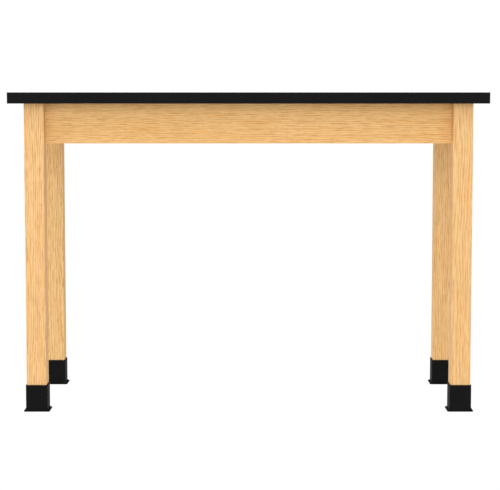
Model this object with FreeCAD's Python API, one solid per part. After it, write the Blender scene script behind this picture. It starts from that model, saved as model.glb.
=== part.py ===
import FreeCAD, Part
import math
import os

# Science lab table: a black laminate top on a bolted oak frame, with screw levelers in the
# leg ends and slip-on leg shoes over them.
# Millimetres. Origin on the floor under the middle of the table, +Z up, +X to the right,
# front of the table towards -Y. Every corner is drawn once, at the front left, and the
# other three are its mirror images.

V = FreeCAD.Vector

# ---------------------------------------------------------------- driving dimensions
TOP_W = 1371.6            # 54 in, along X
TOP_D = 609.6             # 24 in, along Y
TABLE_H = 924.0           # floor to work surface: 36 in class plus the leveler
LAMINATE_T = 1.5875       # 1/16 in decorative high-pressure laminate
CORE_T = 28.575           # 1 1/8 in particle board
BACKER_T = 1.5875         # 1/16 in balancing sheet: 1 1/4 in top in all
BAND_T = 3.0              # PVC edge band
BAND_R = 0.8              # rounding of the band's long edges
BAND_CORNER_R = 1.4       # rounding of the band at the corners of the top

OVERHANG_X = 41.275       # top past the legs, left and right (1 5/8 in)
OVERHANG_Y = 44.45        # top past the legs, front and rear (1 3/4 in)

LEG = 57.15               # 2 1/4 in square
LEG_LENGTH = 875.5        # floor to frame, less the leveler
LEG_R = 1.6               # eased long edges, 1/16 in
LEG_END_CHAMFER = 1.5

APRON_T = 19.05           # 3/4 in
APRON_H = 115.0           # 4 1/2 in class
APRON_R = 1.6             # eased lower edges

CLIP_GROOVE_W = 3.2       # saw kerf near the top of each apron's inner face
CLIP_GROOVE_DEPTH = 9.5
CLIP_GROOVE_DOWN = 11.0   # wood left above the groove
CLIP_T = 2.0
CLIP_W = 26.0
CLIP_LIP = 8.0            # reach of the clip into the groove
CLIP_RISER = 3.0          # gap between apron and clip riser
CLIP_FLANGE = 24.0
CLIPS_LONG = (-380.0, 0.0, 380.0)    # X of the clips on the front and rear aprons
CLIPS_SHORT = (-72.0, 72.0)          # Y of the clips on the side aprons
CLIP_SCREW_R = 2.1
CLIP_SCREW_L = 16.0

BRACE_T = 2.5             # bent steel corner brace
BRACE_H = 86.0
BRACE_DOWN = 18.0         # from the top of the apron to the top of the brace
BRACE_BEND = 50.0         # where the diagonal web leaves the apron
BRACE_REACH = 78.0        # where the hook turns into the apron's kerf
BRACE_HOOK = 8.0
BRACE_KERF_W = 3.1
BRACE_KERF_DEPTH = 9.5
KERF_EASE = 1.4           # bevel at the kerf's mouth, clear of the brace's bend
BRACE_SCREW_AT = 65.0
BRACE_SCREW_Z = (-38.0, -84.0)       # from the top of the apron
BRACE_SCREW_R = 2.4
BRACE_SCREW_L = 15.0

BOLT_R = 3.97             # 5/16 in hanger bolt
BOLT_IN_LEG = 39.0
BOLT_OUT = 50.0
BOLT_Z = (-41.0, -81.0)   # from the top of the apron
WASHER_R = 9.5
WASHER_T = 1.6
NUT_AF = 12.7
NUT_H = 6.75

STEM_R = 4.7625           # 3/8 in leveler stem, 16 threads per inch
STEM_TOP = 60.0
COLLAR_AF = 14.3
COLLAR_Z = (9.4, 14.5)
NECK_R = 4.8
BUTTON_R = 6.05
BUTTON_Z = (2.8, 6.4)
FOOT_R = 18.0
FOOT_TOP_R = 10.5
FOOT_RIM = 3.4
FOOT_H = 9.0
SOCKET_R = 6.35
SOCKET_Z = (2.5, 6.7)
SOCKET_LIP_R = 5.1

TEE_FLANGE_R = 12.7
TEE_FLANGE_T = 1.9
TEE_BARREL_R = 5.95
TEE_BARREL_L = 11.1
TEE_BORE_R = 4.84
TEE_PRONG_L = 6.5
LEG_HOLE_R = 6.0
LEG_HOLE_DEPTH = 49.0

SHOE_GAP = 0.3            # shoe to leg, each side
SHOE_WALL = 2.4           # 3/32 in
SHOE_CORNER_R = 1.0       # upright outer corners of the sleeve
SHOE_H = 77.0             # 3 in class
SHOE_FLANGE = 75.0        # across the flared foot of the shoe
SHOE_FLANGE_T = 3.0
SHOE_FLANGE_R = 6.5       # rounded plan corners of the flange
SHOE_COVE = 4.2           # concave sweep from the wall down to the flange

# ---------------------------------------------------------------- derived places
TOP_T = LAMINATE_T + CORE_T + BACKER_T
FRAME_Z = TABLE_H - TOP_T                       # top of legs and aprons
LEG_X = TOP_W / 2 - OVERHANG_X - LEG / 2        # leg centre lines
LEG_Y = TOP_D / 2 - OVERHANG_Y - LEG / 2
IN_X = LEG_X - LEG / 2                          # inner faces of the legs
IN_Y = LEG_Y - LEG / 2
LEG_Z0 = FRAME_Z - LEG_LENGTH
APRON_Z0 = FRAME_Z - APRON_H

CORNERS = ("front_left", "front_right", "rear_left", "rear_right")

os.makedirs("parts", exist_ok=True)


# ---------------------------------------------------------------- helpers
def box(x0, x1, y0, y1, z0, z1):
    return Part.makeBox(x1 - x0, y1 - y0, z1 - z0, V(x0, y0, z0))


def cyl(r, p0, axis, length):
    return Part.makeCylinder(r, length, p0, axis)


def edges_along(shape, direction):
    """Straight edges parallel to a direction."""
    d = V(direction).normalize()
    found = []
    for e in shape.Edges:
        if len(e.Vertexes) != 2:
            continue
        t = e.Vertexes[1].Point.sub(e.Vertexes[0].Point)
        if t.Length > 1e-6 and abs(abs(t.normalize().dot(d)) - 1) < 1e-6:
            found.append(e)
    return found


def revolve(points):
    """A solid of revolution about Z from (r, z) points; the profile closes on itself."""
    pts = [V(r, 0, z) for r, z in points]
    wire = Part.makePolygon(pts + [pts[0]])
    return Part.Face(wire).revolve(V(0, 0, 0), V(0, 0, 1), 360)


def hexagon(af, z0, z1):
    """A hexagonal prism with its corners chamfered as on turned hex stock."""
    rc = af / math.sqrt(3)
    pts = [V(rc * math.cos(math.pi / 3 * k), rc * math.sin(math.pi / 3 * k), z0) for k in range(7)]
    prism = Part.Face(Part.makePolygon(pts)).extrude(V(0, 0, z1 - z0))
    c = (rc - af / 2 * 0.985) * 0.58
    cone = revolve([(0, z0), (af / 2 * 0.985, z0), (rc + 0.02, z0 + c), (rc + 0.02, z1 - c), (af / 2 * 0.985, z1), (0, z1)])
    return prism.common(cone)


def place(shape, pos, axis):
    """Move a shape drawn along +Z so that +Z points along the axis and its origin sits at pos."""
    s = shape.copy()
    s.Placement = FreeCAD.Placement(pos, FreeCAD.Rotation(V(0, 0, 1), axis))
    return s


def at_corner(shape, corner):
    """A shape drawn at the front left corner, moved to another corner by mirroring."""
    s = shape.copy()
    if corner.endswith("right"):
        s = s.mirror(V(0, 0, 0), V(1, 0, 0))
    if corner.startswith("rear"):
        s = s.mirror(V(0, 0, 0), V(0, 1, 0))
    return s


def cut_all(shape, tools):
    return shape.cut(Part.makeCompound(tools)) if tools else shape


def one(shape):
    """The single solid in a boolean's result."""
    solids = shape.Solids
    assert len(solids) == 1, len(solids)
    return solids[0]


def wood_screw(r, length, head_r, head_h):
    """A pan-head wood screw: underside of the head at z=0, shank down -Z, cross recess."""
    tip = 1.9 * r
    body = revolve([
        (0, -length), (r, -length + tip), (r, 0), (head_r, 0), (head_r, head_h * 0.42),
        (head_r * 0.86, head_h * 0.80), (head_r * 0.55, head_h), (0, head_h),
    ])
    w, a = head_r * 0.2, head_r * 0.56
    deep = head_h * 0.35
    cross = [box(-a, a, -w / 2, w / 2, deep, head_h + 1), box(-w / 2, w / 2, -a, a, deep, head_h + 1)]
    return one(cut_all(body, cross))


def save(name, shapes):
    shapes = shapes if isinstance(shapes, list) else [shapes]
    shapes = [s.removeSplitter() if s.ShapeType == "Solid" else s for s in shapes]
    for s in shapes:
        assert s.isValid() and s.Volume > 0, name
    out = shapes[0] if len(shapes) == 1 else Part.makeCompound(shapes)
    out.exportStep("parts/%s.step" % name)


# ---------------------------------------------------------------- top-fixing clips
def clip_and_screw():
    """One step clip, drawn for the front apron at X=0, with its screw up into the core."""
    face = -IN_Y
    zt = FRAME_Z - CLIP_GROOVE_DOWN
    half = CLIP_W / 2
    lip = box(-half, half, face - CLIP_LIP, face + CLIP_RISER + CLIP_T, zt - CLIP_T, zt)
    riser = box(-half, half, face + CLIP_RISER, face + CLIP_RISER + CLIP_T, zt - CLIP_T, FRAME_Z)
    flange = box(-half, half, face + CLIP_RISER, face + CLIP_RISER + CLIP_FLANGE, FRAME_Z - CLIP_T, FRAME_Z)
    body = lip.fuse(riser).fuse(flange).removeSplitter()
    bends = []
    for e in edges_along(body, V(1, 0, 0)):
        p = e.CenterOfMass
        outer = (abs(p.y - face - CLIP_RISER) < 1e-6 and abs(p.z - FRAME_Z) < 1e-6) or (
            abs(p.y - face - CLIP_RISER - CLIP_T) < 1e-6 and abs(p.z - zt + CLIP_T) < 1e-6)
        if outer:
            bends.append(e)
    body = body.makeFillet(1.8, bends)
    rounds = [e for e in edges_along(body, V(0, 0, 1))
              if abs(e.CenterOfMass.y - face - CLIP_RISER - CLIP_FLANGE) < 1e-6]
    body = body.makeFillet(5.0, rounds)
    at = V(0, face + CLIP_RISER + CLIP_FLANGE * 0.58, 0)
    hole = cyl(CLIP_SCREW_R + 0.35, V(at.x, at.y, FRAME_Z - CLIP_T - 1), V(0, 0, 1), CLIP_T + 2)
    body = one(body.cut(hole))
    screw = place(wood_screw(CLIP_SCREW_R, CLIP_SCREW_L, 4.1, 2.7), V(at.x, at.y, FRAME_Z - CLIP_T), V(0, 0, -1))
    pilot = cyl(CLIP_SCREW_R + 0.05, V(at.x, at.y, FRAME_Z - 1), V(0, 0, 1), CLIP_SCREW_L - CLIP_T + 1.5)
    return body, screw, pilot


def at_front(s, x):
    t = s.copy()
    t.translate(V(x, 0, 0))
    return t


def at_left(s, y):
    """From the front apron to the left apron: turned a quarter, then shifted to its inner face."""
    t = s.copy()
    t.translate(V(0, IN_Y, 0))
    t.rotate(V(0, 0, 0), V(0, 0, 1), -90)
    t.translate(V(-IN_X, y, 0))
    return t


def over(s, mirror_axis):
    return s.mirror(V(0, 0, 0), mirror_axis)


clip, clip_screw, clip_pilot = clip_and_screw()
clips, clip_screws, clip_pilots = [], [], []
for shapes, source in ((clips, clip), (clip_screws, clip_screw), (clip_pilots, clip_pilot)):
    for x in CLIPS_LONG:
        shapes.append(at_front(source, x))
        shapes.append(over(at_front(source, x), V(0, 1, 0)))
    for y in CLIPS_SHORT:
        shapes.append(at_left(source, y))
        shapes.append(over(at_left(source, y), V(1, 0, 0)))

save("top_clips", clips)
save("top_clip_screws", clip_screws)

# ---------------------------------------------------------------- the top
IX, IY = TOP_W / 2 - BAND_T, TOP_D / 2 - BAND_T
Z_BACK, Z_CORE, Z_LAM = FRAME_Z, FRAME_Z + BACKER_T, TABLE_H - LAMINATE_T

save("top_laminate", box(-IX, IX, -IY, IY, Z_LAM, TABLE_H))
save("top_core", one(cut_all(box(-IX, IX, -IY, IY, Z_CORE, Z_LAM), clip_pilots)))
save("top_backer", one(cut_all(box(-IX, IX, -IY, IY, Z_BACK, Z_CORE), clip_pilots)))


def band(x0, x1, y0, y1, outward):
    """An edge band: full thickness of the top, with its two exposed long edges rounded."""
    b = box(x0, x1, y0, y1, FRAME_Z, TABLE_H)
    run = V(1, 0, 0) if abs(outward.y) > 0.5 else V(0, 1, 0)
    outer = [e for e in edges_along(b, run) if e.CenterOfMass.dot(outward) > b.BoundBox.Center.dot(outward)]
    if run.x:
        ends = [e for e in edges_along(b, V(0, 0, 1)) if e.CenterOfMass.dot(outward) > b.BoundBox.Center.dot(outward)]
        b = b.makeFillet(BAND_CORNER_R, ends)
        outer = [e for e in edges_along(b, run) if e.CenterOfMass.dot(outward) > b.BoundBox.Center.dot(outward)]
    return one(b.makeFillet(BAND_R, outer))


HX, HY = TOP_W / 2, TOP_D / 2
save("edge_band_front", band(-HX, HX, -HY, -IY, V(0, -1, 0)))
save("edge_band_rear", band(-HX, HX, IY, HY, V(0, 1, 0)))
save("edge_band_left", band(-HX, -IX, -IY, IY, V(-1, 0, 0)))
save("edge_band_right", band(IX, HX, -IY, IY, V(1, 0, 0)))

# ---------------------------------------------------------------- corner hardware, front left
C = V(-IN_X, -IN_Y, 0)              # inner corner of the front left leg
DIAG = V(1, 1, 0).normalize()       # from the leg towards the middle of the table


def brace_outline():
    """The brace in plan, as a closed outline around its bent centre line."""
    h = BRACE_T / 2
    line = [(BRACE_REACH, -BRACE_HOOK), (BRACE_REACH, h), (BRACE_BEND, h),
            (h, BRACE_BEND), (h, BRACE_REACH), (-BRACE_HOOK, BRACE_REACH)]

    def offset(side):
        out = []
        n = len(line)
        for i in range(n):
            dirs = []
            if i > 0:
                dirs.append((line[i][0] - line[i - 1][0], line[i][1] - line[i - 1][1]))
            if i < n - 1:
                dirs.append((line[i + 1][0] - line[i][0], line[i + 1][1] - line[i][1]))
            normals = []
            for dx, dy in dirs:
                m = math.hypot(dx, dy)
                normals.append((-dy / m * side, dx / m * side))
            nx = sum(a for a, _ in normals) / len(normals)
            ny = sum(b for _, b in normals) / len(normals)
            m2 = nx * nx + ny * ny
            out.append((line[i][0] + nx / m2 * h, line[i][1] + ny / m2 * h))
        return out

    return offset(1) + offset(-1)[::-1]


def corner_brace():
    pts = [V(C.x + u, C.y + v, FRAME_Z - BRACE_DOWN - BRACE_H) for u, v in brace_outline()]
    plate = Part.Face(Part.makePolygon(pts + [pts[0]])).extrude(V(0, 0, BRACE_H))
    ends = [(BRACE_REACH, -BRACE_HOOK), (-BRACE_HOOK, BRACE_REACH)]
    bends = []
    for e in edges_along(plate, V(0, 0, 1)):
        p = e.CenterOfMass.sub(C)
        if all(math.hypot(p.x - u, p.y - v) > BRACE_T for u, v in ends):
            bends.append(e)
    plate = plate.makeFillet(1.0, bends)
    holes = []
    for z in BOLT_Z:
        holes.append(cyl(BOLT_R + 0.5, V(C.x, C.y, FRAME_Z + z) + DIAG * 20, DIAG, 40))
    for z in BRACE_SCREW_Z:
        holes.append(cyl(BRACE_SCREW_R + 0.3, V(C.x + BRACE_SCREW_AT, C.y - 1, FRAME_Z + z), V(0, 1, 0), 8))
        holes.append(cyl(BRACE_SCREW_R + 0.3, V(C.x - 1, C.y + BRACE_SCREW_AT, FRAME_Z + z), V(1, 0, 0), 8))
    return one(cut_all(plate, holes))


def web_distance():
    """Along the diagonal, from the leg's corner to the inner face of the brace's web."""
    mid = (BRACE_BEND + BRACE_T / 2) / 2
    return mid * math.sqrt(2) + BRACE_T / 2


brace = corner_brace()
brace_screws = []
for z in BRACE_SCREW_Z:
    s = wood_screw(BRACE_SCREW_R, BRACE_SCREW_L + BRACE_T, 4.7, 3.1)
    brace_screws.append(place(s, V(C.x + BRACE_SCREW_AT, C.y + BRACE_T, FRAME_Z + z), V(0, 1, 0)))
    brace_screws.append(place(s, V(C.x + BRACE_T, C.y + BRACE_SCREW_AT, FRAME_Z + z), V(1, 0, 0)))

bolts, washers, nuts = [], [], []
for z in BOLT_Z:
    p = V(C.x, C.y, FRAME_Z + z)
    b = revolve([(0, -BOLT_IN_LEG), (BOLT_R * 0.25, -BOLT_IN_LEG), (BOLT_R, -BOLT_IN_LEG + 7),
                 (BOLT_R, BOLT_OUT - 1.0), (BOLT_R - 0.9, BOLT_OUT), (0, BOLT_OUT)])
    bolts.append(place(b, p, DIAG))
    w = revolve([(BOLT_R + 0.25, 0), (WASHER_R, 0), (WASHER_R, WASHER_T), (BOLT_R + 0.25, WASHER_T)])
    washers.append(place(w, p + DIAG * web_distance(), DIAG))
    n = one(hexagon(NUT_AF, 0, NUT_H).cut(cyl(BOLT_R + 0.05, V(0, 0, -1), V(0, 0, 1), NUT_H + 2)))
    nuts.append(place(n, p + DIAG * (web_distance() + WASHER_T), DIAG))

LEG_AXIS = V(-LEG_X, -LEG_Y, 0)


def tee_nut():
    """A four-prong tee nut driven into the end of the leg; flange below, barrel and prongs up."""
    z = LEG_Z0
    body = revolve([(TEE_BORE_R, z - TEE_FLANGE_T), (TEE_FLANGE_R, z - TEE_FLANGE_T), (TEE_FLANGE_R, z),
                    (TEE_BARREL_R, z), (TEE_BARREL_R, z + TEE_BARREL_L), (TEE_BORE_R, z + TEE_BARREL_L)])
    prongs = []
    for k in range(4):
        r1 = TEE_FLANGE_R - 0.7
        r0 = r1 - 1.7
        pts = [V(r0, -2.6, z), V(r0, 2.6, z), V(r0, 0.5, z + TEE_PRONG_L), V(r0, -0.5, z + TEE_PRONG_L)]
        prong = Part.Face(Part.makePolygon(pts + [pts[0]])).extrude(V(r1 - r0, 0, 0))
        prong.rotate(V(0, 0, 0), V(0, 0, 1), 45 + 90 * k)
        prongs.append(prong)
    whole = body
    for p in prongs:
        whole = whole.fuse(p)
    whole = one(whole.removeSplitter())
    whole.translate(LEG_AXIS)
    for p in prongs:
        p.translate(LEG_AXIS)
    return whole, prongs


tee, tee_prongs = tee_nut()


def leg():
    half = LEG / 2
    s = box(LEG_AXIS.x - half, LEG_AXIS.x + half, LEG_AXIS.y - half, LEG_AXIS.y + half, LEG_Z0, FRAME_Z)
    s = s.makeFillet(LEG_R, edges_along(s, V(0, 0, 1)))
    bottom = [e for e in s.Edges if abs(e.BoundBox.ZMax - LEG_Z0) < 1e-6 and abs(e.BoundBox.ZMin - LEG_Z0) < 1e-6]
    s = s.makeChamfer(LEG_END_CHAMFER, bottom)
    holes = [cyl(LEG_HOLE_R, V(LEG_AXIS.x, LEG_AXIS.y, LEG_Z0 - 1), V(0, 0, 1), LEG_HOLE_DEPTH + 1)]
    for z in BOLT_Z:
        p = V(C.x, C.y, FRAME_Z + z)
        holes.append(cyl(BOLT_R + 0.05, p - DIAG * (BOLT_IN_LEG + 0.6), DIAG, BOLT_IN_LEG + 10))
    return one(cut_all(s, holes + tee_prongs))


def stem():
    c0, c1 = COLLAR_Z
    b0, b1 = BUTTON_Z
    turned = revolve([(0, b0), (BUTTON_R - 1.2, b0), (BUTTON_R, b0 + 1.0), (BUTTON_R, b1), (NECK_R, b1), (NECK_R, c0 + 1),
                      (STEM_R, c0 + 1), (STEM_R, STEM_TOP - 1.2), (STEM_R - 1.1, STEM_TOP), (0, STEM_TOP)])
    s = one(turned.fuse(hexagon(COLLAR_AF, c0, c1)).removeSplitter())
    s.translate(LEG_AXIS)
    return s


def foot():
    s = revolve([(0, 0), (FOOT_R - 0.9, 0), (FOOT_R, 0.9), (FOOT_R, FOOT_RIM), (FOOT_R - 0.7, FOOT_RIM + 0.8),
                 (FOOT_TOP_R + 1.6, FOOT_H - 1.4), (FOOT_TOP_R, FOOT_H), (SOCKET_LIP_R, FOOT_H), (SOCKET_LIP_R, SOCKET_Z[1]),
                 (SOCKET_R, SOCKET_Z[1]), (SOCKET_R, SOCKET_Z[0]), (0, SOCKET_Z[0])])
    s.translate(LEG_AXIS)
    return s


def shoe():
    """A moulded sleeve, open at both ends, swept out in a cove to a thin flange on the floor."""
    inner = LEG / 2 + SHOE_GAP
    outer = inner + SHOE_WALL
    fl = SHOE_FLANGE / 2
    cx, cy = LEG_AXIS.x, LEG_AXIS.y
    wall = box(cx - outer, cx + outer, cy - outer, cy + outer, 0, SHOE_H)
    wall = wall.makeFillet(SHOE_CORNER_R, edges_along(wall, V(0, 0, 1)))
    flange = box(cx - fl, cx + fl, cy - fl, cy + fl, 0, SHOE_FLANGE_T)
    flange = flange.makeFillet(SHOE_FLANGE_R, edges_along(flange, V(0, 0, 1)))
    rim = [e for e in flange.Edges if abs(e.BoundBox.ZMin - SHOE_FLANGE_T) < 1e-6]
    flange = flange.makeFillet(0.9, rim)
    body = wall.fuse(flange).removeSplitter()
    cove = [e for e in body.Edges
            if abs(e.BoundBox.ZMin - SHOE_FLANGE_T) < 1e-5 and abs(e.BoundBox.ZMax - SHOE_FLANGE_T) < 1e-5
            and max(abs(v.Point.x - cx) for v in e.Vertexes) < outer + 0.01
            and max(abs(v.Point.y - cy) for v in e.Vertexes) < outer + 0.01]
    body = body.makeFillet(SHOE_COVE, cove)
    lip = [e for e in body.Edges if abs(e.BoundBox.ZMin - SHOE_H) < 1e-6]
    body = body.makeFillet(0.8, lip)
    bore = box(cx - inner, cx + inner, cy - inner, cy + inner, -1, SHOE_H + 1)
    bore = bore.makeFillet(LEG_R - 0.2, edges_along(bore, V(0, 0, 1)))
    return one(body.cut(bore))


# ---------------------------------------------------------------- aprons
def prism(points):
    """An upright prism as tall as the apron, from plan points; used to ease the mouth of a kerf."""
    pts = [V(x, y, APRON_Z0 - 1) for x, y in points]
    return Part.Face(Part.makePolygon(pts + [pts[0]])).extrude(V(0, 0, APRON_H + 2))


def front_apron():
    s = box(-IN_X, IN_X, -IN_Y - APRON_T, -IN_Y, APRON_Z0, FRAME_Z)
    low = [e for e in edges_along(s, V(1, 0, 0)) if abs(e.CenterOfMass.z - APRON_Z0) < 1e-6]
    s = s.makeFillet(APRON_R, low)
    cuts = [groove_front()]
    for sx in (1, -1):
        for tool in corner_cuts_front():
            cuts.append(tool if sx == 1 else over(tool, V(1, 0, 0)))
    return one(cut_all(s, cuts))


def groove_front():
    zt = FRAME_Z - CLIP_GROOVE_DOWN
    return box(-IN_X - 5, IN_X + 5, -IN_Y - CLIP_GROOVE_DEPTH, -IN_Y + 1, zt - CLIP_GROOVE_W, zt)


def corner_cuts_front():
    k = C.x + BRACE_REACH
    tools = [box(k - BRACE_KERF_W / 2, k + BRACE_KERF_W / 2, C.y - BRACE_KERF_DEPTH, C.y + 1, APRON_Z0 - 1, FRAME_Z + 1)]
    mouth = k - BRACE_KERF_W / 2
    tools.append(prism([(mouth - KERF_EASE - 1, C.y + 1), (mouth + 0.1, C.y - KERF_EASE - 0.1), (mouth + 0.1, C.y + 1)]))
    for z in BRACE_SCREW_Z:
        tools.append(cyl(BRACE_SCREW_R + 0.05, V(C.x + BRACE_SCREW_AT, C.y + 1, FRAME_Z + z), V(0, -1, 0), BRACE_SCREW_L + 1.6))
    for z in BOLT_Z:
        tools.append(cyl(BOLT_R + 0.4, V(C.x, C.y, FRAME_Z + z) - DIAG * 12, DIAG, 30))
    return tools


def left_apron():
    s = box(-IN_X - APRON_T, -IN_X, -IN_Y, IN_Y, APRON_Z0, FRAME_Z)
    low = [e for e in edges_along(s, V(0, 1, 0)) if abs(e.CenterOfMass.z - APRON_Z0) < 1e-6]
    s = s.makeFillet(APRON_R, low)
    zt = FRAME_Z - CLIP_GROOVE_DOWN
    cuts = [box(-IN_X - CLIP_GROOVE_DEPTH, -IN_X + 1, -IN_Y - 5, IN_Y + 5, zt - CLIP_GROOVE_W, zt)]
    k = C.y + BRACE_REACH
    tools = [box(C.x - BRACE_KERF_DEPTH, C.x + 1, k - BRACE_KERF_W / 2, k + BRACE_KERF_W / 2, APRON_Z0 - 1, FRAME_Z + 1)]
    mouth = k - BRACE_KERF_W / 2
    tools.append(prism([(C.x + 1, mouth - KERF_EASE - 1), (C.x - KERF_EASE - 0.1, mouth + 0.1), (C.x + 1, mouth + 0.1)]))
    for z in BRACE_SCREW_Z:
        tools.append(cyl(BRACE_SCREW_R + 0.05, V(C.x + 1, C.y + BRACE_SCREW_AT, FRAME_Z + z), V(-1, 0, 0), BRACE_SCREW_L + 1.6))
    for z in BOLT_Z:
        tools.append(cyl(BOLT_R + 0.4, V(C.x, C.y, FRAME_Z + z) - DIAG * 12, DIAG, 30))
    for t in tools:
        cuts.append(t)
        cuts.append(over(t, V(0, 1, 0)))
    return one(cut_all(s, cuts))


front = front_apron()
left = left_apron()
save("apron_front", front)
save("apron_rear", over(front, V(0, 1, 0)))
save("apron_left", left)
save("apron_right", over(left, V(1, 0, 0)))

# ---------------------------------------------------------------- all four corners
base_leg, base_stem, base_foot, base_shoe = leg(), stem(), foot(), shoe()
groups = {"corner_brace_screws": [], "hanger_bolts": [], "hanger_bolt_washers": [], "hanger_bolt_nuts": [], "leveler_tee_nuts": []}
for corner in CORNERS:
    save("leg_" + corner, at_corner(base_leg, corner))
    save("corner_brace_" + corner, at_corner(brace, corner))
    save("leg_shoe_" + corner, at_corner(base_shoe, corner))
    save("leveler_stem_" + corner, at_corner(base_stem, corner))
    save("leveler_foot_" + corner, at_corner(base_foot, corner))
    groups["corner_brace_screws"] += [at_corner(s, corner) for s in brace_screws]
    groups["hanger_bolts"] += [at_corner(s, corner) for s in bolts]
    groups["hanger_bolt_washers"] += [at_corner(s, corner) for s in washers]
    groups["hanger_bolt_nuts"] += [at_corner(s, corner) for s in nuts]
    groups["leveler_tee_nuts"] += [at_corner(tee, corner)]
for name, shapes in groups.items():
    save(name, shapes)
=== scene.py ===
import bpy
import bmesh
import math
from mathutils import Matrix, Vector


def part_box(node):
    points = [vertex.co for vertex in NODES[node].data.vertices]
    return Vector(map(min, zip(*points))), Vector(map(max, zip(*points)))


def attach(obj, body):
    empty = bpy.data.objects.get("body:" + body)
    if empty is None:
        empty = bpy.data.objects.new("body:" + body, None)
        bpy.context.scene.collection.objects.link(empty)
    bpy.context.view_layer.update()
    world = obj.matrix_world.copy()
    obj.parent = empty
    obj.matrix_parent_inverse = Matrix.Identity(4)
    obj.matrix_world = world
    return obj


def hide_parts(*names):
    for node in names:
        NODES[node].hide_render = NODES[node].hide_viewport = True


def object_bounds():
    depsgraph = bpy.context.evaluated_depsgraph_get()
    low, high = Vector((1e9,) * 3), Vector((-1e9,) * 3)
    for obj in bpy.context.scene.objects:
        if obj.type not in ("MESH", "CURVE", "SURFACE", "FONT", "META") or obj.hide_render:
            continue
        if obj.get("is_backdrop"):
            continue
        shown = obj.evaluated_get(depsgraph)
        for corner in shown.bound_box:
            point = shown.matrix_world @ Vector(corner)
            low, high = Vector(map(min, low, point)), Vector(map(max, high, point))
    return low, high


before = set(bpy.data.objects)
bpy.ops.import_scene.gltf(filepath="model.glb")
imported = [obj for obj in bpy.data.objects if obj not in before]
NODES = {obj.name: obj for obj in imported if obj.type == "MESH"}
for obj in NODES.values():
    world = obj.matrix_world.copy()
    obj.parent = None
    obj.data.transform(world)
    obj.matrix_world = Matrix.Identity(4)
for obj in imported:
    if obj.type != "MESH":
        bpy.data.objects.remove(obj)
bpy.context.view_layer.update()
CORNERS = ("front_left", "front_right", "rear_left", "rear_right")


# ------------------------------------------------------------------ node graphs
class Graph:
    """A small helper for writing one material's node tree."""

    def __init__(self, name):
        self.mat = bpy.data.materials.new(name)
        self.mat.use_nodes = True
        self.nt = self.mat.node_tree
        self.nt.nodes.clear()
        out = self.nt.nodes.new("ShaderNodeOutputMaterial")
        self.bsdf = self.nt.nodes.new("ShaderNodeBsdfPrincipled")
        self.nt.links.new(self.bsdf.outputs["BSDF"], out.inputs["Surface"])

    def put(self, socket, value):
        if isinstance(value, bpy.types.NodeSocket):
            self.nt.links.new(value, socket)
        else:
            socket.default_value = value

    def node(self, kind, **settings):
        n = self.nt.nodes.new(kind)
        for k, v in settings.items():
            setattr(n, k, v)
        return n

    def math(self, op, a, b=None, c=None, clamp=False):
        n = self.node("ShaderNodeMath", operation=op, use_clamp=clamp)
        for i, v in enumerate((a, b, c)):
            if v is not None:
                self.put(n.inputs[i], v)
        return n.outputs[0]

    def vec(self, x, y, z):
        n = self.node("ShaderNodeCombineXYZ")
        for s, v in zip(n.inputs, (x, y, z)):
            self.put(s, v)
        return n.outputs[0]

    def object_xyz(self):
        n = self.node("ShaderNodeTexCoord")
        s = self.node("ShaderNodeSeparateXYZ")
        self.nt.links.new(n.outputs["Object"], s.inputs[0])
        return s.outputs[0], s.outputs[1], s.outputs[2]

    def scaled(self, v, sx, sy, sz):
        n = self.node("ShaderNodeVectorMath", operation="MULTIPLY")
        self.put(n.inputs[0], v)
        n.inputs[1].default_value = (sx, sy, sz)
        return n.outputs[0]

    def noise(self, v, detail=2.0, rough=0.5, distortion=0.0, scale=1.0):
        n = self.node("ShaderNodeTexNoise", noise_dimensions="3D")
        self.put(n.inputs["Vector"], v)
        n.inputs["Scale"].default_value = scale
        n.inputs["Detail"].default_value = detail
        n.inputs["Roughness"].default_value = rough
        n.inputs["Distortion"].default_value = distortion
        return n.outputs["Fac"]

    def voronoi(self, v, feature="F1", output="Distance", randomness=1.0):
        n = self.node("ShaderNodeTexVoronoi", voronoi_dimensions="3D", feature=feature)
        self.put(n.inputs["Vector"], v)
        n.inputs["Scale"].default_value = 1.0
        n.inputs["Randomness"].default_value = randomness
        return n.outputs[output]

    def ramp(self, fac, stops, interpolation="LINEAR"):
        n = self.node("ShaderNodeValToRGB")
        cr = n.color_ramp
        cr.interpolation = interpolation
        while len(cr.elements) > 1:
            cr.elements.remove(cr.elements[-1])
        for i, (pos, value) in enumerate(stops):
            e = cr.elements[0] if i == 0 else cr.elements.new(pos)
            e.position = pos
            e.color = (*value, 1.0) if isinstance(value, tuple) else (value, value, value, 1.0)
        self.put(n.inputs[0], fac)
        return n.outputs["Color"]

    def span(self, value, lo, hi, a, b, smooth=True):
        n = self.node("ShaderNodeMapRange", clamp=True, interpolation_type="SMOOTHSTEP" if smooth else "LINEAR")
        for s, v in zip(n.inputs, (value, lo, hi, a, b)):
            self.put(s, v)
        return n.outputs["Result"]

    def mix(self, fac, a, b, blend="MIX"):
        n = self.node("ShaderNodeMix", data_type="RGBA", blend_type=blend, clamp_factor=True)
        for s, v in zip((n.inputs["Factor"], n.inputs[6], n.inputs[7]), (fac, a, b)):
            self.put(s, (*v, 1.0) if isinstance(v, tuple) and len(v) == 3 else v)
        return n.outputs[2]

    def bump(self, height, strength, distance, under=None):
        n = self.node("ShaderNodeBump")
        n.inputs["Strength"].default_value = strength
        n.inputs["Distance"].default_value = distance
        self.put(n.inputs["Height"], height)
        if under is not None:
            self.put(n.inputs["Normal"], under)
        return n.outputs["Normal"]

    def set(self, **sockets):
        for k, v in sockets.items():
            s = self.bsdf.inputs[k.replace("_", " ")]
            self.put(s, (*v, 1.0) if isinstance(v, tuple) and len(v) == 3 else v)
        return self.mat


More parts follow.
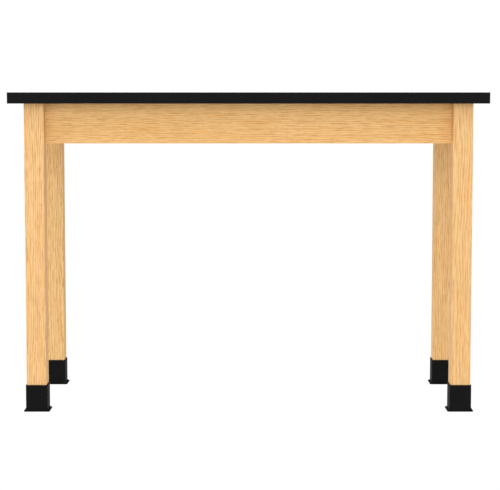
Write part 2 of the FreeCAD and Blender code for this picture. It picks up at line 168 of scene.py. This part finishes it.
# ------------------------------------------------------------------ oak
def oak(name, grain, pith, seed, tone, dark):
    """Lacquered pale oak, solid through the piece: growth rings about a pith outside the
    stick, long ring-porous streaks, fibre, and slow drifts between honey and orange.
    grain is the axis the fibres run along; pith is where the tree's middle lies, across
    the grain, in metres; seed shifts the noise so that no two sticks are alike."""
    g = Graph(name)
    x, y, z = g.object_xyz()
    a, b, c = {"z": (x, y, z), "x": (y, z, x), "y": (x, z, y)}[grain]
    a = g.math("SUBTRACT", a, pith[0])
    b = g.math("SUBTRACT", b, pith[1])
    c = g.math("ADD", c, seed)
    p = g.vec(a, b, c)
    sway = g.noise(g.scaled(p, 5.0, 5.0, 1.1), detail=2.0)
    wander = g.noise(g.scaled(p, 26.0, 26.0, 3.4), detail=2.0)
    ripple = g.noise(g.scaled(p, 110.0, 110.0, 20.0), detail=2.0)
    r = g.math("SQRT", g.math("ADD", g.math("MULTIPLY", a, a), g.math("MULTIPLY", b, b)))
    r = g.math("MULTIPLY_ADD", sway, 0.050, r)
    r = g.math("MULTIPLY_ADD", wander, 0.014, r)
    r = g.math("MULTIPLY_ADD", ripple, 0.0026, r)
    phase = g.math("MULTIPLY", r, 1.0 / 0.0046)
    ring = g.math("FRACT", phase)
    which = g.node("ShaderNodeTexWhiteNoise", noise_dimensions="1D")
    g.put(which.inputs["W"], g.math("FLOOR", phase))
    early = g.ramp(ring, [(0.0, 0.15), (0.10, 1.0), (0.36, 0.85), (0.52, 0.10), (0.96, 0.0)])
    early = g.math("MULTIPLY", early, g.span(which.outputs["Value"], 0.0, 1.0, 0.55, 1.0))
    dash = g.noise(g.scaled(p, 205.0, 205.0, 29.0), detail=2.0)
    early = g.math("MULTIPLY", early, g.span(dash, 0.34, 0.62, 0.30, 1.0))
    streak = g.noise(g.scaled(p, 480.0, 480.0, 29.0), detail=2.0, rough=0.55)
    streak = g.span(streak, 0.44, 0.66, 0.0, 1.0)
    pores = g.noise(g.scaled(p, 1350.0, 1350.0, 62.0), detail=2.0, rough=0.6)
    pores = g.math("MULTIPLY", g.span(pores, 0.55, 0.66, 0.0, 1.0), g.math("MULTIPLY_ADD", early, 0.7, 0.3))
    fibre = g.noise(g.scaled(p, 1700.0, 1700.0, 22.0), detail=2.0, rough=0.7)
    drift = g.noise(g.scaled(p, 17.0, 17.0, 1.9), detail=3.0, rough=0.55)
    warm = g.noise(g.scaled(p, 75.0, 75.0, 5.5), detail=2.0)

    light = g.mix(g.span(drift, 0.36, 0.66, 0.0, 1.0), tone, tuple(t * k for t, k in zip(tone, (1.035, 1.055, 1.11))))
    light = g.mix(g.span(warm, 0.53, 0.70, 0.0, 0.85), light, tuple(t * k for t, k in zip(tone, (1.01, 0.91, 0.76))))
    depth = g.math("MULTIPLY", early, 0.80)
    depth = g.math("MULTIPLY_ADD", streak, 0.40, depth)
    depth = g.math("MULTIPLY_ADD", pores, 0.60, depth)
    colour = g.mix(g.math("MINIMUM", depth, 1.0), light, dark)
    colour = g.mix(g.math("MULTIPLY", pores, 0.22), colour, tuple(d * 0.55 for d in dark))
    value = g.span(fibre, 0.3, 0.7, 0.955, 1.045, smooth=False)
    colour = g.mix(1.0, colour, g.vec(value, value, value), blend="MULTIPLY")

    rough = g.math("MULTIPLY_ADD", fibre, 0.10, 0.52)
    rough = g.math("MULTIPLY_ADD", pores, 0.16, rough)
    height = g.math("MULTIPLY_ADD", pores, -1.0, g.math("MULTIPLY", early, -0.45))
    height = g.math("MULTIPLY_ADD", fibre, 0.25, height)
    normal = g.bump(height, 0.35, 0.00022)
    return g.set(Base_Color=colour, Roughness=rough, Normal=normal, Specular_IOR_Level=0.06,
                 Coat_Weight=0.02, Coat_Roughness=0.35, Coat_IOR=1.40)


LEG_TONE, LEG_DARK = (0.796, 0.497, 0.219), (0.522, 0.264, 0.089)
APRON_TONE, APRON_DARK = (0.806, 0.494, 0.204), (0.513, 0.254, 0.081)
PITHS = {"front_left": (-0.700, -0.330), "front_right": (0.560, -0.345), "rear_left": (-0.540, 0.110), "rear_right": (0.705, 0.125)}
SEEDS = {"front_left": 3.1, "front_right": 7.7, "rear_left": 12.4, "rear_right": 18.9}
# Per-leg tints on the oak: the rear legs are painted paler (rear left by 6.5 to 11.5 %, rear right by 2 to 4.5 %).
# This painted light makes up for the shade they stand in under the apron and top. The front legs' trims stay within
# 1.5 %.
PAINTED_LIGHT_TINTS = {"front_left": (0.99, 0.99, 1.0), "front_right": (0.985, 0.985, 0.985), "rear_left": (1.065, 1.10, 1.115), "rear_right": (1.02, 1.035, 1.045)}
EVEN = {"front_left": 0.0, "front_right": 0.18, "rear_left": 0.0, "rear_right": 0.0}
oaks = {}
for corner in CORNERS:
    # tone and dark both take the leg's tint, so the rear legs carry painted light
    tint, even = PAINTED_LIGHT_TINTS[corner], EVEN[corner]
    tone = tuple(c * k * (1.0 - 0.18 * even) for c, k in zip(LEG_TONE, tint))
    dark = tuple((c + (t - c) * even) * k for c, t, k in zip(LEG_DARK, LEG_TONE, tint))
    oaks["leg_" + corner] = oak("oak_leg_" + corner, "z", PITHS[corner], SEEDS[corner], tone, dark)
oaks["apron_front"] = oak("oak_apron_front", "x", (-0.300, 0.620), 23.3, APRON_TONE, APRON_DARK)
oaks["apron_rear"] = oak("oak_apron_rear", "x", (0.310, 1.050), 29.8, APRON_TONE, APRON_DARK)
oaks["apron_left"] = oak("oak_apron_left", "y", (-0.680, 0.610), 34.6, APRON_TONE, APRON_DARK)
oaks["apron_right"] = oak("oak_apron_right", "y", (0.675, 1.060), 41.2, APRON_TONE, APRON_DARK)


# ------------------------------------------------------------------ black top
def laminate(name, base, spec, rough0, relief, uneven=0.10, wiped=0.06):
    """Matt black sheet: a fine pressed grain, faint cloudy drift, soft rub marks.
    uneven is how far the black drifts, wiped how far rubbing has polished it."""
    g = Graph(name)
    x, y, z = g.object_xyz()
    p = g.vec(x, y, z)
    grain = g.noise(g.scaled(p, 900.0, 900.0, 900.0), detail=3.0, rough=0.6)
    cloud = g.noise(g.scaled(p, 6.0, 6.0, 6.0), detail=3.0)
    speck = g.noise(g.scaled(p, 320.0, 320.0, 320.0), detail=2.0)
    rub = g.noise(g.scaled(p, 7.0, 17.0, 17.0), detail=4.0, rough=0.65)
    v = g.span(cloud, 0.3, 0.7, 1.0 - uneven, 1.0 + uneven)
    v = g.math("MULTIPLY", v, g.span(speck, 0.35, 0.65, 1.0 - uneven, 1.0 + uneven))
    colour = g.mix(1.0, base, g.vec(v, v, v), blend="MULTIPLY")
    rough = g.math("MULTIPLY_ADD", grain, 0.10, rough0)
    rough = g.math("MULTIPLY_ADD", rub, -wiped, rough)
    normal = g.bump(grain, relief, 0.00012)
    return g.set(Base_Color=colour, Roughness=rough, Normal=normal, Specular_IOR_Level=spec)


black_laminate = laminate("black_laminate", (0.0105, 0.0102, 0.0106), 0.10, 0.54, 0.40, uneven=0.22, wiped=0.10)
black_band = laminate("black_edge_band", (0.0065, 0.0063, 0.0066), 0.06, 0.58, 0.07)
backer = laminate("backer_sheet", (0.050, 0.046, 0.042), 0.25, 0.60, 0.25)


def particle_board():
    """Pressed chips of wood, seen only in the clip screws' holes."""
    g = Graph("particle_board")
    x, y, z = g.object_xyz()
    p = g.vec(x, y, z)
    chip = g.voronoi(g.scaled(p, 420.0, 420.0, 900.0), output="Color")
    fine = g.noise(g.scaled(p, 1500.0, 1500.0, 1500.0), detail=3.0)
    sep = g.node("ShaderNodeSeparateColor")
    g.put(sep.inputs[0], chip)
    colour = g.ramp(sep.outputs[0], [(0.0, (0.30, 0.20, 0.11)), (0.5, (0.50, 0.37, 0.23)), (1.0, (0.66, 0.52, 0.35))])
    rough = g.math("MULTIPLY_ADD", fine, 0.15, 0.78)
    return g.set(Base_Color=colour, Roughness=rough, Normal=g.bump(fine, 0.5, 0.0003), Specular_IOR_Level=0.2)


# ------------------------------------------------------------------ moulded black pieces
def moulded(name, base, spec, rough0):
    """Moulded black vinyl or nylon: pebbled satin skin with vertical draw marks."""
    g = Graph(name)
    x, y, z = g.object_xyz()
    p = g.vec(x, y, z)
    pebble = g.noise(g.scaled(p, 700.0, 700.0, 700.0), detail=2.0, rough=0.55)
    draw = g.noise(g.scaled(p, 260.0, 260.0, 18.0), detail=2.0)
    bloom = g.noise(g.scaled(p, 28.0, 28.0, 28.0), detail=3.0)
    low = g.span(z, 0.0, 0.012, 1.0, 0.0)
    v = g.math("MULTIPLY", g.span(bloom, 0.3, 0.7, 0.86, 1.16), g.span(pebble, 0.3, 0.7, 0.92, 1.08))
    colour = g.mix(1.0, base, g.vec(v, v, v), blend="MULTIPLY")
    scuff = g.math("MULTIPLY", low, g.span(bloom, 0.48, 0.66, 0.0, 0.30))
    colour = g.mix(scuff, colour, (0.022, 0.021, 0.020))
    rough = g.math("MULTIPLY_ADD", draw, 0.12, rough0)
    rough = g.math("MULTIPLY_ADD", pebble, 0.08, rough)
    normal = g.bump(pebble, 0.12, 0.00016)
    return g.set(Base_Color=colour, Roughness=rough, Normal=normal, Specular_IOR_Level=spec)


vinyl = moulded("black_vinyl", (0.0064, 0.0064, 0.0066), 0.05, 0.56)
nylon = moulded("foot_nylon", (0.016, 0.016, 0.016), 0.45, 0.34)


# ------------------------------------------------------------------ steel
def steel(name, base, rough0, yellow, spangle):
    """Plated steel: fine drawn scratches, mottled passivation, a little dulling."""
    g = Graph(name)
    x, y, z = g.object_xyz()
    p = g.vec(x, y, z)
    scratch = g.noise(g.scaled(p, 2200.0, 2200.0, 160.0), detail=3.0, rough=0.65)
    mottle = g.noise(g.scaled(p, 90.0, 90.0, 90.0), detail=3.0, rough=0.6)
    crystal = g.voronoi(g.scaled(p, 240.0, 240.0, 240.0), output="Color")
    sep = g.node("ShaderNodeSeparateColor")
    g.put(sep.inputs[0], crystal)
    tint = g.mix(g.span(mottle, 0.42, 0.64, 0.0, 1.0), base, yellow)
    v = g.math("MULTIPLY", g.span(sep.outputs[0], 0.0, 1.0, 1.0 - spangle, 1.0 + spangle), g.span(scratch, 0.3, 0.7, 0.93, 1.07))
    colour = g.mix(1.0, tint, g.vec(v, v, v), blend="MULTIPLY")
    rough = g.math("MULTIPLY_ADD", mottle, 0.22, rough0)
    rough = g.math("MULTIPLY_ADD", scratch, 0.08, rough)
    return g.set(Base_Color=colour, Roughness=rough, Normal=g.bump(scratch, 0.12, 0.00008), Metallic=1.0)


zinc = steel("zinc_steel", (0.56, 0.56, 0.545), 0.26, (0.55, 0.525, 0.44), 0.10)
bright = steel("bright_steel", (0.66, 0.66, 0.65), 0.17, (0.62, 0.61, 0.57), 0.04)


# ------------------------------------------------------------------ finishes on the CAD pieces
def finish_node(name, mat):
    o = NODES[name]
    if not o.material_slots:
        o.data.materials.append(mat)
    for s in o.material_slots:
        s.material = mat


finish_node("top_laminate", black_laminate)
finish_node("top_core", particle_board())
finish_node("top_backer", backer)
for side in ("front", "rear", "left", "right"):
    finish_node("edge_band_" + side, black_band)
    finish_node("apron_" + side, oaks["apron_" + side])
for corner in CORNERS:
    finish_node("leg_" + corner, oaks["leg_" + corner])
    finish_node("corner_brace_" + corner, zinc)
    finish_node("leg_shoe_" + corner, vinyl)
    finish_node("leveler_foot_" + corner, nylon)
    finish_node("leveler_stem_" + corner, bright)
finish_node("top_clips", zinc)
for group in ("top_clip_screws", "corner_brace_screws", "hanger_bolts", "hanger_bolt_washers", "hanger_bolt_nuts", "leveler_tee_nuts"):
    finish_node(group, bright)


# ------------------------------------------------------------------ screw threads
def ring(bm, radius, z, sides, turn=0.0):
    """A loop of vertices round Z. radius is a number, or a function of the angle."""
    loop = []
    for i in range(sides):
        t = 2 * math.pi * i / sides + turn
        r = radius(t) if callable(radius) else radius
        h = z(t) if callable(z) else z
        loop.append(bm.verts.new((r * math.cos(t), r * math.sin(t), h)))
    return loop


def skin(bm, low, high):
    n = len(low)
    for i in range(n):
        k = (i + 1) % n
        bm.faces.new((low[i], low[k], high[k], high[i]))


def loop_edges(bm, loop):
    n = len(loop)
    return [bm.edges.get((loop[i], loop[(i + 1) % n])) or bm.edges.new((loop[i], loop[(i + 1) % n])) for i in range(n)]


def thread(bm, major, pitch, z0, z1, sides, bevel):
    """A right-hand 60 degree thread round Z from z0 to z1, its far end bevelled and capped.
    Returns the edges of the open loop at z0."""
    minor = major - 0.6134 * pitch
    profile = ((-0.0625, major), (0.0625, major), (0.375, minor), (0.625, minor))
    first = int(math.floor(z0 / pitch)) - 3
    turns = int(math.ceil((z1 - z0) / pitch)) + 6
    columns = []
    for i in range(sides):
        t = 2 * math.pi * i / sides
        column = []
        for k in range(turns):
            for at, r in profile:
                column.append(bm.verts.new((r * math.cos(t), r * math.sin(t), pitch * (first + k + at + i / sides))))
        columns.append(column)
    per = len(profile)
    for i in range(sides):
        a = columns[i]
        b = columns[i + 1] if i + 1 < sides else columns[0][per:]
        for j in range(min(len(a), len(b)) - 1):
            bm.faces.new((a[j], b[j], b[j + 1], a[j + 1]))

    def cut(z, below=False, above=False):
        geom = bm.verts[:] + bm.edges[:] + bm.faces[:]
        done = bmesh.ops.bisect_plane(bm, geom=geom, dist=1e-9, plane_co=(0, 0, z), plane_no=(0, 0, 1), clear_inner=below, clear_outer=above)
        return [e for e in done["geom_cut"] if isinstance(e, bmesh.types.BMEdge)]

    cut(z0, below=True)
    cut(z1, above=True)
    cut(z1 - bevel)
    for v in bm.verts:
        past = v.co.z - (z1 - bevel)
        r = math.hypot(v.co.x, v.co.y)
        if past > 0 and r > major - past:
            v.co.x *= (major - past) / r
            v.co.y *= (major - past) / r
    edge = [e for e in bm.edges if len(e.link_faces) == 1]
    top = {v for e in edge for v in e.verts if v.co.z > z1 - 1e-7}
    bm.faces.new(sorted(top, key=lambda v: math.atan2(v.co.y, v.co.x)))
    return [e for e in edge if max(v.co.z for v in e.verts) < z0 + 1e-7]


def as_mesh(name, bm, mat):
    bmesh.ops.recalc_face_normals(bm, faces=bm.faces[:])
    mesh = bpy.data.meshes.new(name)
    bm.to_mesh(mesh)
    bm.free()
    mesh.materials.append(mat)
    for poly in mesh.polygons:
        poly.use_smooth = True
    mesh.set_sharp_from_angle(angle=math.radians(32.0))
    return mesh


def hex_reach(across):
    def reach(t):
        return across / 2 / math.cos((t % (math.pi / 3)) - math.pi / 6)
    return reach


def stem_mesh(name):
    """Leveler stem: 3/8 in, 16 threads per inch, over a hex collar, a neck and a ball button."""
    bm = bmesh.new()
    open_loop = thread(bm, 0.0047625, 0.0015875, 0.0145, 0.0600, 30, 0.0011)
    flats, round_r = hex_reach(0.0143), 0.0143 / 2 * 0.985
    n = 48
    loops = [
        ring(bm, 0.0030, 0.0028, n), ring(bm, 0.00485, 0.0028, n), ring(bm, 0.0056, 0.00325, n), ring(bm, 0.00605, 0.0038, n),
        ring(bm, 0.00605, 0.0058, n), ring(bm, 0.0056, 0.0064, n), ring(bm, 0.0048, 0.0064, n), ring(bm, 0.0048, 0.0094, n),
        ring(bm, round_r, 0.0094, n),
        ring(bm, flats, lambda t: 0.0094 + (flats(t) - round_r) * 0.58, n),
        ring(bm, flats, lambda t: 0.0145 - (flats(t) - round_r) * 0.58, n),
        ring(bm, round_r, 0.0145, n),
    ]
    for low, high in zip(loops, loops[1:]):
        skin(bm, low, high)
    bm.faces.new(list(reversed(loops[0])))
    bmesh.ops.bridge_loops(bm, edges=open_loop + loop_edges(bm, loops[-1]))
    return as_mesh(name, bm, bright)


def bolt_mesh(name):
    """Hanger bolt, drawn along Z from the leg's corner: 5/16 in, 18 threads per inch outside
    the wood, a plain tapered shank inside it."""
    bm = bmesh.new()
    open_loop = thread(bm, 0.00397, 0.0014111, -0.003, 0.0500, 22, 0.0009)
    n = 22
    loops = [ring(bm, 0.0010, -0.039, n), ring(bm, 0.00353, -0.032, n), ring(bm, 0.00353, -0.0036, n)]
    for low, high in zip(loops, loops[1:]):
        skin(bm, low, high)
    bm.faces.new(list(reversed(loops[0])))
    bmesh.ops.bridge_loops(bm, edges=open_loop + loop_edges(bm, loops[-1]))
    return as_mesh(name, bm, bright)


SIGNS = {"front_left": (-1, -1), "front_right": (1, -1), "rear_left": (-1, 1), "rear_right": (1, 1)}
for corner, (sx, sy) in SIGNS.items():
    lo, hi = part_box("leveler_foot_" + corner)
    stem = bpy.data.objects.new("threaded_stem_" + corner, stem_mesh("threaded_stem_" + corner))
    stem.location = ((lo[0] + hi[0]) / 2, (lo[1] + hi[1]) / 2, 0.0)
    bpy.context.scene.collection.objects.link(stem)
    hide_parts("leveler_stem_" + corner)
    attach(stem, "stem_" + corner)

frame_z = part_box("leg_front_left")[1][2]
leg_lo, leg_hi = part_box("leg_front_left")
bm = bmesh.new()
source = bolt_mesh("hanger_bolt")
for sx, sy in SIGNS.values():
    for down in (0.041, 0.081):
        heading = Vector((-sx, -sy, 0)).to_track_quat("Z", "Y").to_matrix().to_4x4()
        spot = Matrix.Translation((sx * -leg_hi[0], sy * -leg_hi[1], frame_z - down))
        copy = source.copy()
        copy.transform(spot @ heading)
        bm.from_mesh(copy)
        bpy.data.meshes.remove(copy)
bolts = bpy.data.objects.new("threaded_hanger_bolts", bpy.data.meshes.new("threaded_hanger_bolts"))
bm.to_mesh(bolts.data)
bm.free()
bolts.data.materials.append(bright)
bpy.data.meshes.remove(source)
bpy.context.scene.collection.objects.link(bolts)
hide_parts("hanger_bolts")
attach(bolts, "table")

# ------------------------------------------------------------------ stage: floor, light, camera
scene = bpy.context.scene
scene.view_settings.view_transform = "Standard"
scene.view_settings.look = "None"
scene.view_settings.exposure = 0.0
scene.view_settings.gamma = 1.0

world = bpy.data.worlds.new("studio")
scene.world = world
world.use_nodes = True
wn = world.node_tree
wn.nodes.clear()
w_out = wn.nodes.new("ShaderNodeOutputWorld")
w_mix = wn.nodes.new("ShaderNodeMixShader")
w_path = wn.nodes.new("ShaderNodeLightPath")
w_fill = wn.nodes.new("ShaderNodeBackground")
w_seen = wn.nodes.new("ShaderNodeBackground")
w_dir = wn.nodes.new("ShaderNodeTexCoord")
w_dot = wn.nodes.new("ShaderNodeVectorMath")
w_dot.operation = "DOT_PRODUCT"
w_dot.inputs[1].default_value = (-0.550, -0.825, 0.130)
w_lit = wn.nodes.new("ShaderNodeMapRange")
w_lit.clamp = True
for socket, value in zip(w_lit.inputs[1:], (-1.0, 1.0, 0.180, 1.282)):
    socket.default_value = value
w_fill.inputs["Color"].default_value = (1.0, 1.0, 1.0, 1.0)
w_seen.inputs["Color"].default_value = (1.0, 1.0, 1.0, 1.0)
w_seen.inputs["Strength"].default_value = 1.02
wn.links.new(w_dir.outputs["Generated"], w_dot.inputs[0])
wn.links.new(w_dot.outputs["Value"], w_lit.inputs["Value"])
wn.links.new(w_lit.outputs["Result"], w_fill.inputs["Strength"])
wn.links.new(w_path.outputs["Is Camera Ray"], w_mix.inputs["Fac"])
wn.links.new(w_fill.outputs[0], w_mix.inputs[1])
wn.links.new(w_seen.outputs[0], w_mix.inputs[2])
wn.links.new(w_mix.outputs[0], w_out.inputs["Surface"])

floor_mesh = bpy.data.meshes.new("studio_floor")
bm = bmesh.new()
bmesh.ops.create_circle(bm, cap_ends=True, radius=60.0, segments=64)
bm.to_mesh(floor_mesh)
bm.free()
floor = bpy.data.objects.new("studio_floor", floor_mesh)
floor.location = (0.0, 0.0, -0.0205)
scene.collection.objects.link(floor)
floor_mat = bpy.data.materials.new("studio_floor")
floor_mat.use_nodes = True
fn = floor_mat.node_tree
fn.nodes.clear()
f_out = fn.nodes.new("ShaderNodeOutputMaterial")
f_mix = fn.nodes.new("ShaderNodeMixShader")
f_geo = fn.nodes.new("ShaderNodeNewGeometry")
f_white = fn.nodes.new("ShaderNodeEmission")
f_clear = fn.nodes.new("ShaderNodeBsdfTransparent")
f_white.inputs["Color"].default_value = (1.0, 1.0, 1.0, 1.0)
f_white.inputs["Strength"].default_value = 1.02
fn.links.new(f_geo.outputs["Backfacing"], f_mix.inputs["Fac"])
fn.links.new(f_white.outputs[0], f_mix.inputs[1])
fn.links.new(f_clear.outputs[0], f_mix.inputs[2])
fn.links.new(f_mix.outputs[0], f_out.inputs["Surface"])
floor_mesh.materials.append(floor_mat)
floor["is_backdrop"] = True


def softbox(name, at, aim, width, height, watts):
    data = bpy.data.lights.new(name, "AREA")
    data.shape = "RECTANGLE"
    data.size, data.size_y = width, height
    data.energy = watts
    o = bpy.data.objects.new(name, data)
    o.location = at
    o.rotation_euler = (Vector(aim) - Vector(at)).to_track_quat("-Z", "Y").to_euler()
    o.visible_glossy = False
    scene.collection.objects.link(o)
    return o


softbox("front_softbox", (0.0, -5.2, 1.70), (0.0, -0.2, 0.80), 2.4, 1.63, 67.5)
softbox("left_fill", (-4.5, 1.5, 0.60), (0.3, -0.1, 0.45), 1.2, 1.2, 30.0)
softbox("rear_softbox", (0.6, 5.2, 2.2), (0.0, 0.2, 0.70), 3.0, 1.4, 108.0)

cam_data = bpy.data.cameras.new("camera")
cam = bpy.data.objects.new("camera", cam_data)
cam_data.sensor_width = 36.0
cam_data.lens = 118.292
cam_data.clip_end = 200.0
cam.location = (0.0042, -4.9827, 0.9003)
cam.rotation_euler = (math.radians(90.0 - 5.0174), 0.0, 0.0)
scene.collection.objects.link(cam)
scene.camera = cam

lo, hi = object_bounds()
